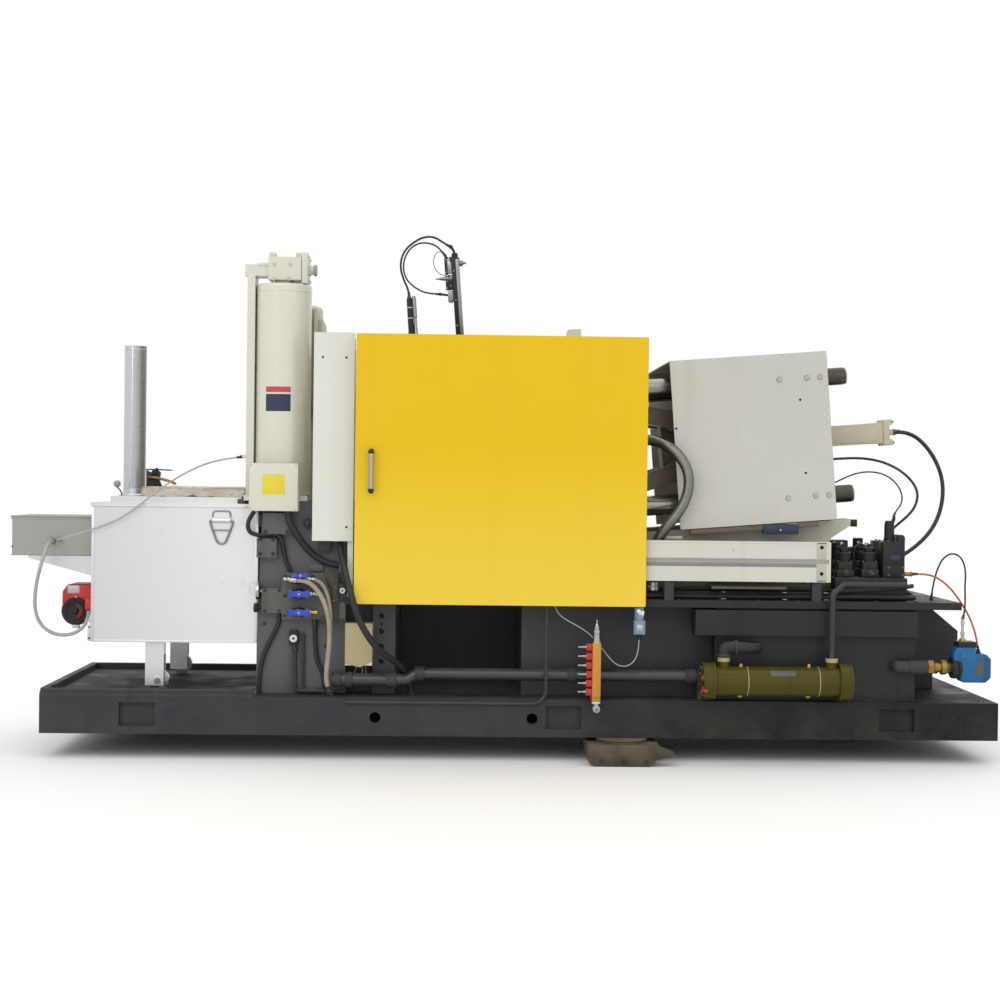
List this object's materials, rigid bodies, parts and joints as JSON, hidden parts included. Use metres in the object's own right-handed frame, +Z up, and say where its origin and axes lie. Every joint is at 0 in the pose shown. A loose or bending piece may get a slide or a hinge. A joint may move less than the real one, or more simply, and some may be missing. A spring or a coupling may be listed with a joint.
{
  "type": "die casting machine",
  "caption": "Hot-chamber die casting machine: holding furnace and accumulator at the left, a tilted toggle clamp behind a sliding yellow guard, on a long bed with an oil tank.",
  "frame": {"origin": "on the floor, under the middle of the machine's bounding box", "axes": "+X along the machine from the furnace to the clamp end, +Y from the front guard to the back, +Z up"},
  "size_m": [4.515, 1.37, 2.4246],
  "materials": {
    "casting": "dark blue-grey machine enamel, oily and speckled",
    "cream": "cream machine enamel",
    "yellow": "yellow guard enamel",
    "stainless": "stainless sheet, faintly smudged",
    "galvanised": "galvanised flue sheet",
    "plated": "hard chrome",
    "bare_steel": "oiled bare steel",
    "grey_box": "grey-green box enamel",
    "red": "red burner housing",
    "blanket": "ceramic fibre blanket",
    "blue": "blue valve handles",
    "olive": "olive cooler enamel",
    "orange": "orange manifold bar",
    "switch": "blue-grey cast switch housing",
    "black": "black valve bodies",
    "skate": "olive-brown skate, worn",
    "hose": "black hydraulic hose",
    "pale_conduit": "pale grey conduit and cable",
    "steel_hose": "ribbed metal hose",
    "beige_hose": "beige water hose",
    "orange_cable": "orange cable"
  },
  "bodies": {
    "machine": {"base_frame": "casting", "tray_rim": "casting", "machine_skates": "skate", "bed_castings": "casting", "oil_tank": "casting", "deck_plates": "casting", "injection_stand": "casting", "accumulator": "cream", "accumulator_head": "cream", "accumulator_bracket": "cream", "injection_cylinder": "cream", "wiring_boxes": "cream", "fixed_platen": "cream", "moving_platen": "cream", "tail_platen": "cream", "tie_bars": "plated", "toggle_links": "bare_steel", "tail_cover": "cream", "clamp_cylinder": "cream", "slide_beams": "cream", "door_rails": "cream", "rail_posts": "casting", "rear_guard": "yellow", "side_guards": "cream", "furnace": "stainless", "furnace_blanket": "blanket", "flue_pipe": "galvanised", "furnace_legs": "stainless", "furnace_wheels": "plated", "burner": "red", "control_box": "grey_box", "valve_plate": "casting", "water_valves": "blue", "cooling_pipe": "casting", "oil_cooler": "olive", "side_pipes": "casting", "stand_hoses": "hose", "water_manifold": "orange", "limit_switch": "switch", "valve_bank": "black", "pump_motor": "casting", "flow_switch": "blue", "spray_unit": "black", "power_hose": "hose", "return_hose": "hose", "pilot_hose": "hose", "guard_hose": "hose", "spray_hose": "hose", "spray_return": "hose", "valve_cable": "hose", "ribbed_hose": "steel_hose", "water_hose": "beige_hose", "burner_conduit": "pale_conduit", "furnace_cable": "pale_conduit", "switch_cable": "pale_conduit", "flow_cable": "orange_cable"},
    "sliding_guard": {"front_door": "yellow", "door_rollers": "bare_steel", "door_handle": "plated"},
    "drop_handle": {"furnace_handle": "stainless"}
  },
  "joints": [
    {"name": "guard_slide", "type": "slide", "parent": "machine", "child": "sliding_guard", "axis": [1, 0, 0], "range_m": [0, 0.82]},
    {"name": "handle_swing", "type": "hinge", "parent": "machine", "child": "drop_handle", "pos_m": [-1.2828, -0.411, 1.068], "axis": [-1, 0, 0], "range_deg": [0, 105]}
  ]
}
